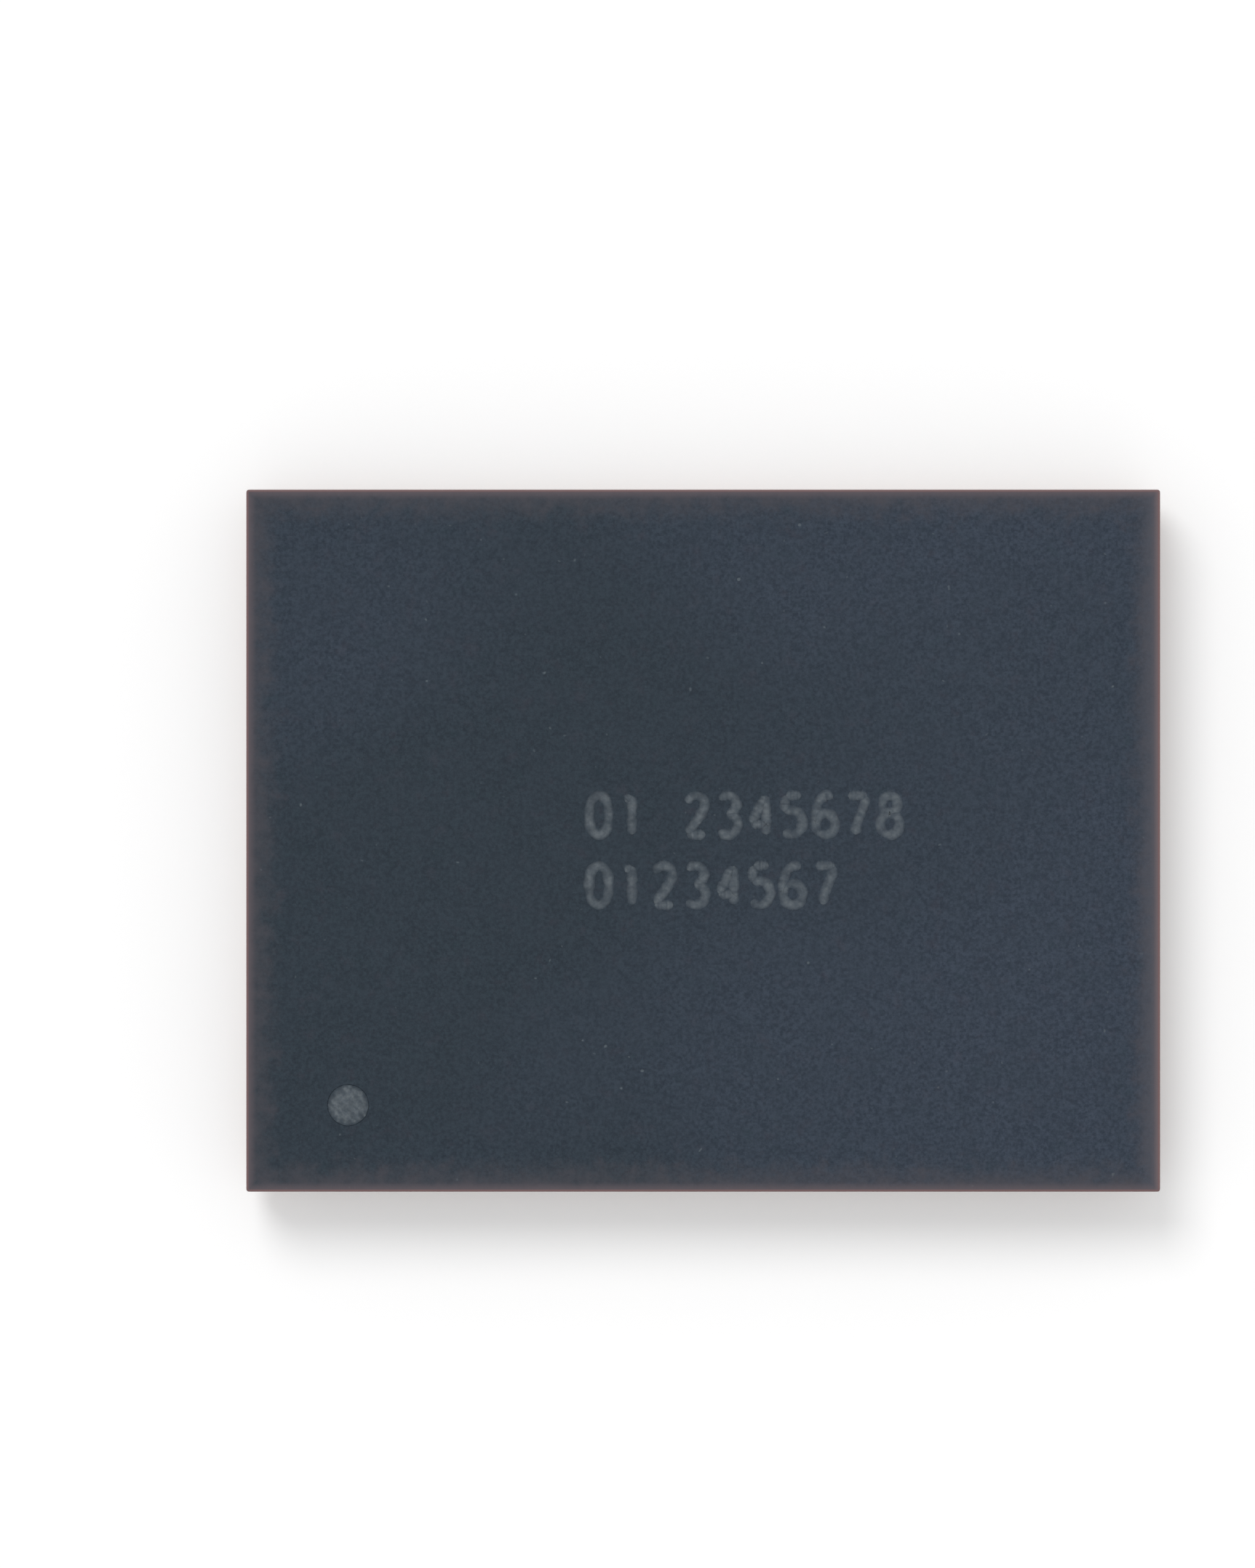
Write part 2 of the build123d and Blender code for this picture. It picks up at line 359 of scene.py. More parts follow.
grains = fade(tree, filler, 0.27, 0.73)
slate = tint(tree, grains, (32, 41, 50), (46, 57, 66))
paler_tone_and_painted_light = tint(tree, grains, (39, 48, 61), (63, 72, 87))
# In this list the second row paints light: towards the +X end the film is painted paler.
for pattern, start, end, share, colour in [
    (sheen, 0.42, 0.64, 0.45, paler_tone_and_painted_light),
    (to_painted_lit_end, 3.4 * MM, 0.4 * MM, 0.55, paler_tone_and_painted_light),
    (clouds, 0.35, 0.65, 0.22, (47, 56, 66)),
    (blush, 0.54, 0.72, 0.22, (60, 57, 67)),
    (blush, 0.44, 0.26, 0.22, (36, 53, 59)),
    (spots, 0.75, 0.84, 0.5, (100, 110, 116)),
]:
    slate = tint(tree, fade(tree, pattern, start, end, 0.0, share), slate, colour)

# %% Its warm zone and its rim, with painted light by the +X end
unrest = maths(tree, "MULTIPLY", maths(tree, "SUBTRACT", blush, 0.5), 330 * UM)
ragged = maths(tree, "SUBTRACT", to_edge, unrest)
# The two rows that go by the +X end paint light there: a paler band, and a lighter rim as a painted
# highlight.
for distance, reach, start, share, colour in [
    (ragged, 230, -40, 0.8, (70, 69, 75)),
    (to_painted_lit_end, 150, 30, 0.45, (82, 84, 93)),
    (to_edge, 64, 6, 0.7, (95, 86, 91)),
    (to_painted_lit_end, 40, 14, 0.5, (112, 98, 100)),
    (to_edge, 16, 9, 0.85, (118, 92, 92)),
]:
    near = fade(tree, distance, reach * UM, start * UM, 0.0, share)
    slate = tint(tree, maths(tree, "MULTIPLY", near, film_in["Edge"]), slate, colour)
tree.links.new(slate, film_out["Color"])
uneven = maths(tree, "ADD", filler, maths(tree, "MULTIPLY", clouds, 2.0))
tree.links.new(uneven, film_out["Height"])
print("film group has", len(tree.nodes), "nodes")

# %% The coating's material
coating_finish, tree, shader, place = new_material("dark_coating", Specular_IOR_Level=0.16)
film = use_group(tree, film_group, place)
worn = fade(tree, grain(tree, place, 40 * UM), 0.3, 0.7, 0.5, 0.64)
finish_with(tree, shader, film["Height"], 1.2 * UM, Base_Color=film["Color"], Roughness=worn)

# %% [markdown]
# ## Finish: sawn sides
#
# A diamond blade cuts the chips apart. It leaves fine level streaks, each a few microns high and
# hundreds long, with a few deeper ones. Noise squeezed in height and drawn out along the side gives
# them. Every side was cut by a pass of its own, so streaks must not run round a corner: the pattern
# reads a stored vector that lays the four sides out in one long strip, far apart from each other.

# %% Saw streaks as a group
tree, saw_in, saw_out = node_group("saw_streaks", RELIEF_AND_SHADE)
saw_group, spot = tree, saw_in["Vector"]
fine_streaks = grain(tree, spot, 6 * UM, 3.0, 0.6, stretch=(0.022, 1.0, 1.0))
long_streaks = grain(tree, spot, 30 * UM, stretch=(0.035, 1.0, 1.0))
pits = grain(tree, spot, 10 * UM, 2.0, 0.6)
streaks = maths(tree, "ADD", fine_streaks, maths(tree, "MULTIPLY", long_streaks, 1.6))
streaks = maths(tree, "ADD", streaks, maths(tree, "MULTIPLY", pits, 0.9))
tree.links.new(streaks, saw_out["Height"])
tree.links.new(fade(tree, streaks, 1.25, 2.25), saw_out["Shade"])

# %% Silicon and the coating's cut side
SIDE_APART = 7 * MM


def strip_place(points):
    """Each point's place on a strip of the four sides: along its side, SIDE_APART further on for
    each side, and its height. A point belongs to the edge that is nearest."""
    x, y, z = points.T
    on_end = half_length - np.abs(x) < half_width - np.abs(y)
    side = 2 * on_end + (np.where(on_end, x, y) > 0)
    return np.stack([np.where(on_end, y, x) + side * SIDE_APART, 0 * z, z], axis=-1)


silicon_finish, tree, shader, place = new_material("sawn_silicon", Metallic=0.3)
saw = use_group(tree, saw_group, stored(tree, "strip", "Vector"))
grey = tint(tree, saw["Shade"], (96, 97, 102), (158, 158, 162))
stain = fade(tree, grain(tree, place, 160 * UM), 0.45, 0.7, 0.0, 0.5)
grey = tint(tree, stain, grey, (118, 116, 118))
finish_relief(tree, shader, saw, 1.5 * UM, grey, 0.34, 0.52)

cut_coating_finish, tree, shader, place = new_material("sawn_coating", Specular_IOR_Level=0.25)
saw = use_group(tree, saw_group, stored(tree, "strip", "Vector"))
film = use_group(tree, film_group, place, Edge=0.0)
resin = tint(tree, saw["Shade"], (38, 39, 43), (68, 67, 70))
cut = tint(tree, 0.75, film["Color"], resin)
finish_relief(tree, shader, saw, 1.6 * UM, cut, 0.5, 0.7)

# %% [markdown]
# ## Piece: the dark coating
#
# The coating is 40 microns thick. Its top has the faint swell of a laminated film, its edge is a few
# microns round, and the laser has sunk a round dot near one corner. The top is a grid of stations,
# close together at the rim. Round the dot, a square window of the grid is left open, and a patch
# whose rings turn from the square into the circle fills it, so that the dot's wall is truly round.

# %% Stations, corners and height of the face
CELL = 21 * UM
CORNER = 16 * UM
EDGE = 6 * UM
RIM = np.array([0, 0.4, 1.0, 2.0, 3.5, 5.5, 9.0]) * UM
SWELL = 1.3 * UM
SWELL_CHANGE = 0.25
SWELL_WAVES = 90 * UM, 700 * UM


def stations(half):
    """Places from -half to half: even cells, with closer ones at both rims."""
    inner = half - RIM[-1] - CELL / 2
    count = int(round(2 * inner / CELL)) + 1
    return np.concatenate([RIM - half, np.linspace(-inner, inner, count), (half - RIM)[::-1]])


def round_corners(x, y):
    """Bring the outline's square corners in to quarter circles: within a corner's square, u and v
    from 0 to 1 become u * sqrt(1 - v*v/2) and v * sqrt(1 - u*u/2)."""
    u = np.clip((np.abs(x) - half_length + CORNER) / CORNER, 0, 1)
    v = np.clip((np.abs(y) - half_width + CORNER) / CORNER, 0, 1)
    x_in = (u - u * np.sqrt(1 - v * v / 2)) * CORNER
    y_in = (v - v * np.sqrt(1 - u * u / 2)) * CORNER
    return x - np.sign(x) * x_in, y - np.sign(y) * y_in


def face_height(x, y):
    """The top less a swell made of waves, less a quarter circle's drop within EDGE of the outline."""
    swell = SWELL * (1 + SWELL_CHANGE * waves_over(x, y, *SWELL_WAVES, seed=3))
    inside = np.clip(np.minimum(half_length - np.abs(x), half_width - np.abs(y)), 0, EDGE)
    drop = EDGE - np.sqrt(EDGE**2 - (EDGE - inside) ** 2)
    return back_face - np.maximum(swell, 0) - drop


across, along = stations(half_length), stations(half_width)
grid_x, grid_y = np.meshgrid(across, along)
face = np.stack([*round_corners(grid_x, grid_y), face_height(grid_x, grid_y)], axis=-1)
print("face grid", face.shape, "lowest", round(face[..., 2].min() / UM, 2), "microns")

# %% The window round the dot and its patch
DOT_RADIUS = 0.122 * MM
DOT_DEPTH = 6 * UM
DOT_CENTRE = np.array([coat_low.x + 0.6 * MM, coat_low.y + 0.51 * MM])
DOT_WALL = 1.2 * UM
WINDOW = 16
APRON_RINGS = 6


def border(index):
    """The outer entries of a table of point numbers, anticlockwise."""
    return np.concatenate([index[0, :-1], index[:-1, -1], index[-1, :0:-1], index[:0:-1, 0]])


column = int(np.argmin(np.abs(across - DOT_CENTRE[0]))) - WINDOW // 2
row = int(np.argmin(np.abs(along - DOT_CENTRE[1]))) - WINDOW // 2
index = np.arange(grid_x.size).reshape(grid_x.shape)
cells = np.stack([index[:-1, :-1], index[:-1, 1:], index[1:, 1:], index[1:, :-1]], axis=-1)
keep = np.ones(cells.shape[:2], bool)
keep[row : row + WINDOW, column : column + WINDOW] = False

face_points = face.reshape(-1, 3)
square = face_points[border(index[row : row + WINDOW + 1, column : column + WINDOW + 1])]
bearing = np.arctan2(square[:, 1] - DOT_CENTRE[1], square[:, 0] - DOT_CENTRE[0])
circle = np.stack([np.cos(bearing), np.sin(bearing)], axis=-1)
shares = np.linspace(0, 1, APRON_RINGS)[:, None, None]
apron = square[:, :2] * (1 - shares) + (DOT_CENTRE + circle * (DOT_RADIUS + DOT_WALL)) * shares
apron = raised(apron, face_height(apron[..., 0], apron[..., 1]))
dot_floor = back_face - DOT_DEPTH
sunk = DOT_CENTRE + circle * np.array([DOT_RADIUS, DOT_RADIUS / 2])[:, None, None]
patch = ring_bowl(np.concatenate([apron, raised(sunk, dot_floor)]), [*DOT_CENTRE, dot_floor])
print("patch has", len(patch[0]), "points")

# %% The sawn wall, the underside and the piece
WALL_LEVELS = 9
WALL_WEAR = 0.8 * UM
WORN_SHARE = 0.6

edge = face_points[border(index)]
level = np.linspace(0, 1, WALL_LEVELS)[:, None]
turn = np.arange(len(edge)) / len(edge)
ripple = waves_round(turn, np.array([31, 57, 83, 112, 149, 173]), seed=5)
worn = WALL_WEAR * (1 + 0.4 * ripple) * np.sin(np.pi / 2 * np.clip(level / WORN_SHARE, 0, 1))
wall_plan = edge[:, :2] * (1 - worn / half_width)[..., None]
wall = raised(wall_plan, edge[:, 2] * (1 - level) + coat_low.z * level)
points, quads, caps = ring_bowl(wall, [0, 0, coat_low.z])
side = points, quads[:, ::-1], caps[:, ::-1]

solid = weld(*joined([(face_points, cells[keep], NO_CAPS), patch, side]))
coating = mesh_object("coating_film", solid, coating_finish, cut_coating_finish, sharp_angle=35)
is_wall = np.zeros(len(solid[1]) + len(solid[2]), np.int32)
is_wall[keep.sum() + len(patch[1]) : len(solid[1])] = 1
coating.data.polygons.foreach_set("material_index", is_wall)
store(coating, "strip", strip_place(solid[0]))
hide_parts("backside_coating")
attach(coating, "root")

# %% [markdown]
# ## Finish: laser marks
#
# A laser bleaches the dark resin to a soft grey, unevenly: where it dwells the grey is paler, and
# where filler burnt out it stays dark. The marks therefore start from the film's own colour and move
# towards grey by a blotchy share. A strength attribute on the mesh fades that share at a stroke's
# edges, so that a line melts into the film as it does on a real chip.

# %% The mark's material
mark_finish, tree, shader, place = new_material("laser_mark", Specular_IOR_Level=0.16, Roughness=0.7)
film = use_group(tree, film_group, place)
blotches = fade(tree, grain(tree, place, 50 * UM), 0.32, 0.68, 0.66, 1.0)
speckle = fade(tree, grain(tree, place, 22 * UM), 0.3, 0.7)
bleached = tint(tree, speckle, (84, 92, 99), (101, 108, 113))
share = maths(tree, "MULTIPLY", stored(tree, "strength"), blotches, clamp=True)
marked = tint(tree, share, film["Color"], bleached)
finish_with(tree, shader, grain(tree, place, 14 * UM), 0.6 * UM, Base_Color=marked)

# %% [markdown]
# ## Piece: the pin-one dot
#
# A laser writes the dot by hatching it: parallel passes, one beside the other, each leaving a low
# ridge of lighter resin. The hatch runs down to the right. The disc is a polar grid fine enough to
# carry the ridges as geometry, and it lies in the coating's recess.

# %% A disc of hatched ridges
HATCH_PITCH = 44 * UM
HATCH_ANGLE = math.radians(-47)
HATCH_HEIGHT = 1.1 * UM
DISC_RINGS = 52
DISC_AROUND = 216
DISC_LIFT = 2.2 * UM
SOFT_EDGE = 30 * UM

disc_radii = np.linspace(DOT_RADIUS, 2 * UM, DISC_RINGS)[:, None]
disc_turn = np.linspace(0, 2 * np.pi, DISC_AROUND, endpoint=False)
wobble = 1 - 0.012 * (1 + waves_round(disc_turn / (2 * np.pi), np.array([5, 8, 11, 17]), seed=9))
reach = np.minimum(disc_radii, DOT_RADIUS * wobble)
disc_x = DOT_CENTRE[0] + reach * np.cos(disc_turn)
disc_y = DOT_CENTRE[1] + reach * np.sin(disc_turn)
crosswise = disc_x * np.sin(HATCH_ANGLE) - disc_y * np.cos(HATCH_ANGLE)
sway = 5 * UM * waves_over(disc_x, disc_y, 60 * UM, 200 * UM, seed=11, count=12)
ridge = 0.5 + 0.5 * np.cos(2 * np.pi * (crosswise + sway) / HATCH_PITCH)
ridge = ridge + 0.3 * waves_over(disc_x, disc_y, 14 * UM, 60 * UM, seed=12, count=24)
lift = DISC_LIFT + HATCH_HEIGHT * np.clip(ridge, 0, 1.4)
disc = np.stack([disc_x, disc_y, dot_floor + lift], axis=-1)
skirt = disc[:1] * [1, 1, 0] + [0, 0, dot_floor + 0.1 * UM]
pin_one = mesh_object("pin_one_dot", ring_solid(np.concatenate([skirt, disc])), mark_finish)

soft_edge = SOFT_EDGE * (1 + 0.5 * waves_over(disc_x, disc_y, 30 * UM, 90 * UM, seed=13))
hatch = 0.66 + 0.3 * np.clip(ridge, 0, 1)
hatch = hatch * np.clip((DOT_RADIUS - reach) / soft_edge.clip(SOFT_EDGE / 5) + 0.05, 0, 1)
store(pin_one, "strength", np.concatenate([hatch[0], hatch.ravel(), [0.6, 0.6]]))
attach(pin_one, "root")

# %% [markdown]
# ## Piece: the marking
#
# Chips are marked in two short lines with a single-stroke laser font. Here it is a plain run of
# digits. Each digit is a few strokes through chosen points, in hundredths of its box, and a stroke
# that ends where it starts is a loop. Smooth curves run through the points, and a low profile with
# soft shoulders is carried along them. The strokes lie on the face with their edges sunk into it.

# %% Single-stroke digits
OVAL = "0,50 6,86 27,100 48,86 54,50 48,14 27,0 6,14 0,50"
UPPER_BOWL = "27,55 43,62 48,77 42,94 27,100 12,94 6,77 11,62 27,55"
LOWER_BOWL = "27,55 45,48 54,28 46,7 27,0 8,7 0,28 9,48 27,55"
DIGITS = {
    "0": [OVAL],
    "1": ["10,84 28,100", "29,99 29,0"],
    "2": ["2,80 12,95 30,100 48,90 50,70 34,42 2,3", "2,0 54,0"],
    "3": ["2,90 22,100 42,94 49,76 40,59 22,54", "22,54 44,47 54,27 43,6 22,0 0,10"],
    "4": ["42,0 42,100", "40,99 20,62 0,29", "0,27 54,27"],
    "5": ["50,100 7,100", "6,100 4,57", "4,56 24,62 45,54 54,30 43,7 22,0 0,10"],
    "6": ["48,93 30,100 10,86 1,55 0,28", LOWER_BOWL],
    "7": ["0,100 54,100", "54,98 38,60 26,30 20,0"],
    "8": [UPPER_BOWL, LOWER_BOWL],
}
STATION = 8 * UM


def smooth_path(knots):
    """A curve through the knots, at even steps. Each span is a cubic that leaves and arrives along
    0.4 of the way between the knots beside it, so that bends stay fairly tight."""
    is_loop = np.allclose(knots[0], knots[-1])
    ends = [knots[-2], knots[1]] if is_loop else [knots[0], knots[-1]]
    chain = np.concatenate([ends[:1], knots, ends[1:]])[:, None]
    t = np.linspace(0, 1, 30, endpoint=False)[None, :, None]
    before, start, end, after = chain[:-3], chain[1:-2], chain[2:-1], chain[3:]
    leave, arrive = 0.4 * (end - before), 0.4 * (after - start)
    curve = (2 * t**3 - 3 * t**2 + 1) * start + (t**3 - 2 * t**2 + t) * leave
    curve = curve + (3 * t**2 - 2 * t**3) * end + (t**3 - t**2) * arrive
    curve = np.concatenate([curve.reshape(-1, 2), knots[-1:]])
    walk = np.concatenate([[0], np.cumsum(np.linalg.norm(np.diff(curve, axis=0), axis=1))])
    even = np.linspace(0, walk[-1], int(round(walk[-1] / STATION)) + 1)
    path = np.stack([np.interp(even, walk, curve[:, axis]) for axis in (0, 1)], axis=-1)
    return (path[:-1] if is_loop else path), is_loop


# %% A profile carried along a stroke
MARK_BOX = np.array([0.215, 0.232]) * MM
MARK_PITCH = 0.1905 * MM
MARK_LEFT = -0.672 * MM
MARK_LINES = {"01 2345678": 0.034 * MM, "01234567": -0.38 * MM}
STROKE = 72 * UM
MARK_RISE = 0.75 * UM
PROFILE_ACROSS = np.array([0.5, 0.38, 0.22, 0.0, -0.22, -0.38, -0.5, -0.4, 0.4])
PROFILE_UP = np.array([-0.4, 0.4, 0.8, 0.9, 0.8, 0.4, -0.4, -1.2, -1.2])
PROFILE_STRENGTH = np.array([0.0, 0.25, 0.7, 0.9, 0.7, 0.25, 0.0, 0.0, 0.0])


def carried_profile(path, is_loop, seed):
    """Carry the profile along a flat path: each station is the path's point plus the profile's
    offset times the unit normal. The width wanders a little and closes in a half circle at both
    ends. Gives the rings of points and how strongly each point is bleached."""
    around = np.concatenate([path[-1:], path, path[:1]]) if is_loop else path
    step = np.gradient(around, axis=0)
    step = step[1:-1] if is_loop else step
    step /= np.linalg.norm(step, axis=1, keepdims=True)
    normal = np.stack([-step[:, 1], step[:, 0]], axis=-1)
    number = np.arange(len(path))
    wander = waves_round(number / len(path), np.array([1, 2, 3, 5, 7]), seed)
    from_end = np.minimum(number, number[::-1]) * STATION
    closing = np.ones(len(path)) if is_loop else np.clip(from_end / (STROKE / 2), 0, 1)
    cap = np.sqrt(1 - (1 - closing) ** 2).clip(0.12)
    width = STROKE * (1 + 0.12 * wander) * cap
    spread = path[:, None] + normal[:, None] * (PROFILE_ACROSS[:, None] * width[:, None, None])
    height = face_height(spread[..., 0], spread[..., 1]) + MARK_RISE * PROFILE_UP
    patchy = np.clip(0.85 + 0.25 * np.roll(wander, 3), 0.3, 1) * (0.55 + 0.45 * cap)
    return raised(spread, np.minimum(height, back_face)), patchy[:, None] * PROFILE_STRENGTH


strokes, strengths = [], []
for text, mark_base in MARK_LINES.items():
    for number, digit in enumerate(text):
        corner = np.array([MARK_LEFT + number * MARK_PITCH, mark_base])
        for part, stroke in enumerate(DIGITS.get(digit, [])):
            knots = np.array([pair.split(",") for pair in stroke.split()], float) / 100
            path, is_loop = smooth_path(corner + knots * MARK_BOX)
            rings, strong = carried_profile(path, is_loop, seed=20 + 10 * number + part + len(text))
            loop = rings.reshape(-1, 3), ring_faces(*rings.shape[:2], closed=True), NO_CAPS
            strokes.append(loop if is_loop else ring_solid(rings))
            strengths.append(strong.ravel() if is_loop else np.append(strong, [0.3, 0.3]))

marking = mesh_object("marking", joined(strokes), mark_finish)
store(marking, "strength", np.concatenate(strengths))
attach(marking, "root")

# %% [markdown]
# ## Piece: the silicon die
#
# The die is a slab of silicon. Only its four sawn sides show. A stack of outlines makes them: each
# level moves in by the blade's waviness, and near both edges small chips have broken out. The chips
# are waves that pass a threshold, so that most of the edge stays clean. A first, wider blade opens
# the ball side before a thin one cuts through, which leaves a ledge of a few microns.

# %% Outline of the die
AROUND = 1500
DIE_LEVELS = [0, 1.2, 3, 6, 10, 16, 26, 44, 70, 88, 94, 98, 104, 130, 160, 190, 220, 245, 264]
DIE_LEVELS += [278, 287, 293, 297, 300]
CHIP_DEPTH = 15 * UM
CHIP_REACH = 11 * UM
LEDGE = 3 * UM
LEDGE_HEIGHT = 96 * UM


def die_outline(count, inset):
    """Points evenly spaced along a rectangle with round corners, anticlockwise from its lower left,
    with the outward direction at each and its share of the way round."""
    size = 2 * (np.array([half_length, half_width]) - inset - CORNER)
    arc = CORNER * np.pi / 2
    sides = np.array([size[0], arc, size[1], arc] * 2)
    ends = np.cumsum(sides)
    walk = np.linspace(0, ends[-1], count, endpoint=False)
    part = np.searchsorted(ends, walk, side="right")
    gone = (walk - (ends - sides)[part])[:, None]
    quarter, is_arc = part // 2, (part % 2 == 1)[:, None]
    heading = quarter * np.pi / 2 + np.where(is_arc, gone / CORNER, 0)[:, 0]
    outward = np.stack([np.sin(heading), -np.cos(heading)], axis=-1)
    corners = np.array([[1, -1], [1, 1], [-1, 1], [-1, -1]])
    after, before = corners[quarter], corners[quarter - 1]
    middle = np.where(is_arc, after * size / 2, before * size / 2 + (after - before) / 2 * gone)
    return middle + outward * CORNER, outward, walk / ends[-1]


rim_points, rim_out, rim_turn = die_outline(AROUND, 0)
many_waves = np.random.default_rng(14).integers(40, 520, 26)
low_chips = np.clip(waves_round(rim_turn, many_waves, seed=15) - 0.75, 0, 1.2)
high_chips = np.clip(waves_round(rim_turn, many_waves + 7, seed=16) - 1.15, 0, 1.2)
waviness = waves_round(rim_turn, np.array([9, 14, 22, 37, 61]), seed=17)

height = np.array(DIE_LEVELS)[:, None] * UM
inward = 0.5 * UM * (1.3 + 0.3 * waviness)
inward = inward + LEDGE * np.clip((LEDGE_HEIGHT - height) / (2 * UM) + 0.5, 0, 1)
inward = inward + CHIP_DEPTH * low_chips * np.exp(-height / CHIP_REACH)
inward = inward + CHIP_DEPTH * 0.6 * high_chips * np.exp((height - height[-1]) / CHIP_REACH)
die_plan = rim_points - rim_out * inward[..., None]
solid = ring_solid(raised(die_plan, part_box("silicon_die")[0].z + height))
die = mesh_object("sawn_die", solid, silicon_finish, sharp_angle=50)
store(die, "strip", strip_place(solid[0]))
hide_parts("silicon_die")
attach(die, "root")

# %% [markdown]
# ## Finishes of the ball side
#
# The film under the copper is clear brown polyimide over the circuits, whose blocks show through as
# darker rectangles between the rows. The copper has a clear skin of the same film, so it looks rust
# brown and satin. Its colour also has painted light: a painted highlight where its edges round off
# and on the via rings, and painted shade in the via dimples. Solder is a bright pale metal with a
# faint grain of crystals.

# %% Metal grain as a group
tree, grain_in, grain_out = node_group("metal_grain", RELIEF_AND_SHADE, Size=20 * UM)
grain_group = tree
grained = {"Vector": grain_in["Vector"], "Scale": maths(tree, "DIVIDE", 1.0, grain_in["Size"])}
crystals = put(tree, "TexVoronoi", grained, feature="F1").outputs["Distance"]
tooth = put(tree, "TexNoise", {**grained, "Detail": 3.0}).outputs["Fac"]
mixed = maths(tree, "ADD", crystals, tooth)
tree.links.new(mixed, grain_out["Height"])
tree.links.new(fade(tree, mixed, 0.5, 1.3), grain_out["Shade"])

# %% Solder
solder_finish, tree, shader, place = new_material("solder", Metallic=0.45)
metal = use_group(tree, grain_group, place, Size=24 * UM)
pale = tint(tree, metal["Shade"], (206, 210, 210), (226, 229, 228))
clouded = fade(tree, grain(tree, place, 60 * UM), 0.6, 0.78, 0.0, 0.35)
pale = tint(tree, clouded, pale, (182, 187, 187))
pale = tint(tree, stored(tree, "pit"), pale, (104, 96, 90))
finish_relief(tree, shader, metal, 0.35 * UM, pale, 0.38, 0.5)

# %% Copper with a clear skin
copper_finish, tree, shader, place = new_material("skinned_copper", Metallic=0.35, Coat_Weight=0.15)
metal = use_group(tree, grain_group, place, Size=9 * UM)
copper_and_painted_light = tint(tree, metal["Shade"], (144, 79, 43), (172, 101, 57))
clouded = fade(tree, grain(tree, place, 120 * UM), 0.4, 0.7, 0.0, 0.5)
copper_and_painted_light = tint(tree, clouded, copper_and_painted_light, (160, 91, 52))
# The stored relief paints light: the rounded shoulders and raised via rings are painted paler as a
# highlight, and the via dimples darker as shade.
relief = stored(tree, "relief")
copper_and_painted_light = tint(tree, fade(tree, relief, 0.0, 1.0, 0.0, 0.8), copper_and_painted_light, (206, 136, 93))
copper_and_painted_light = tint(tree, fade(tree, relief, 0.0, -1.0, 0.0, 0.85), copper_and_painted_light, (92, 44, 28))
finish_relief(tree, shader, metal, 0.7 * UM, copper_and_painted_light, 0.4, 0.52)

# %% Film over the circuit blocks
PITCH = 0.4 * MM
COLUMNS = 13
ROWS = 10
row_low, row_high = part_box("ball_row_a")
ball_radius = (row_high.y - row_low.y) / 2
first_ball = np.array([row_high.x - ball_radius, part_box("ball_row_k")[1].y - ball_radius])

film_finish, tree, shader, place = new_material("polyimide", Specular_IOR_Level=0.2)
fibre = fade(tree, grain(tree, place, 14 * UM, 3.0), 0.3, 0.7)
brown = tint(tree, fibre, (124, 76, 48), (148, 96, 64))
golden = fade(tree, grain(tree, place, 300 * UM), 0.42, 0.66, 0.0, 0.7)
brown = tint(tree, golden, brown, (132, 92, 54))
axes = put(tree, "SeparateXYZ", {0: place}).outputs
from_column = maths(tree, "SUBTRACT", axes[0], first_ball[0] + PITCH / 4)
from_row = maths(tree, "SUBTRACT", axes[1], first_ball[1] + PITCH / 2)
in_column = fade(tree, maths(tree, "PINGPONG", from_column, PITCH / 4), 58 * UM, 36 * UM)
in_row = fade(tree, maths(tree, "PINGPONG", from_row, PITCH / 2), 66 * UM, 40 * UM)
brown = tint(tree, maths(tree, "MULTIPLY", in_row, 0.35), brown, (116, 70, 51))
shift = (-first_ball[0], -first_ball[1] + PITCH, 0)
shifted = put(tree, "Mapping", {"Vector": place, "Location": shift}).outputs[0]
cell = {0: shifted, 1: (PITCH / 2, PITCH, 1)}
cell = put(tree, "VectorMath", cell, operation="SNAP").outputs[0]
chance = put(tree, "TexWhiteNoise", {"Vector": cell}).outputs["Value"]
block = maths(tree, "MULTIPLY", in_column, in_row)
block = maths(tree, "MULTIPLY", block, fade(tree, chance, 0.15, 0.9))
brown = tint(tree, block, brown, (102, 65, 48))
dull = fade(tree, grain(tree, place, 50 * UM), 0.3, 0.7, 0.32, 0.45)
finish_with(tree, shader, grain(tree, place, 25 * UM), 0.6 * UM, Base_Color=brown, Roughness=dull)

# %% Circuits and seal ring
circuit_finish, tree, shader, place = new_material("circuit_stack", Metallic=0.3, Roughness=0.35)
bands = grain(tree, place, 2.2 * UM, 1.0, stretch=(0.02, 0.02, 1.0))
layers = tint(tree, fade(tree, bands, 0.4, 0.6), (96, 84, 76), (140, 130, 122))
finish_with(tree, shader, bands, 0.5 * UM, Base_Color=layers)

ring_finish, tree, shader, place = new_material("ring_metal", Metallic=0.9)
metal = use_group(tree, grain_group, place, Size=6 * UM)
silvery = tint(tree, metal["Shade"], (150, 146, 140), (186, 182, 174))
finish_relief(tree, shader, metal, 0.3 * UM, silvery, 0.3, 0.42)

for node, finish in {"circuit_layers": circuit_finish, "seal_ring": ring_finish}.items():
    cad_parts[node].data.materials.clear()
    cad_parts[node].data.materials.append(finish)
print("circuits and ring finished")

# %% [markdown]
# ## Piece: the film
#
# Polyimide is spun on, lit through a mask and cured. Its edge slumps in the oven, so it falls off in
# a soft slope and its corners are round. It is a stack of outlines from the face with the copper up
# to the circuits, each a little wider than the one before. A first outline further in keeps the flat
# part flat in the light as well.

# %% Film with a slumped edge
FILM_IN = np.array([9.0, 5.5, 2.6, 0.8, 0.0]) * UM
FILM_UP = np.array([0.0, 0.06, 0.28, 0.62, 1.0])
FILM_AROUND = 320
FLAT_PART = 0.985

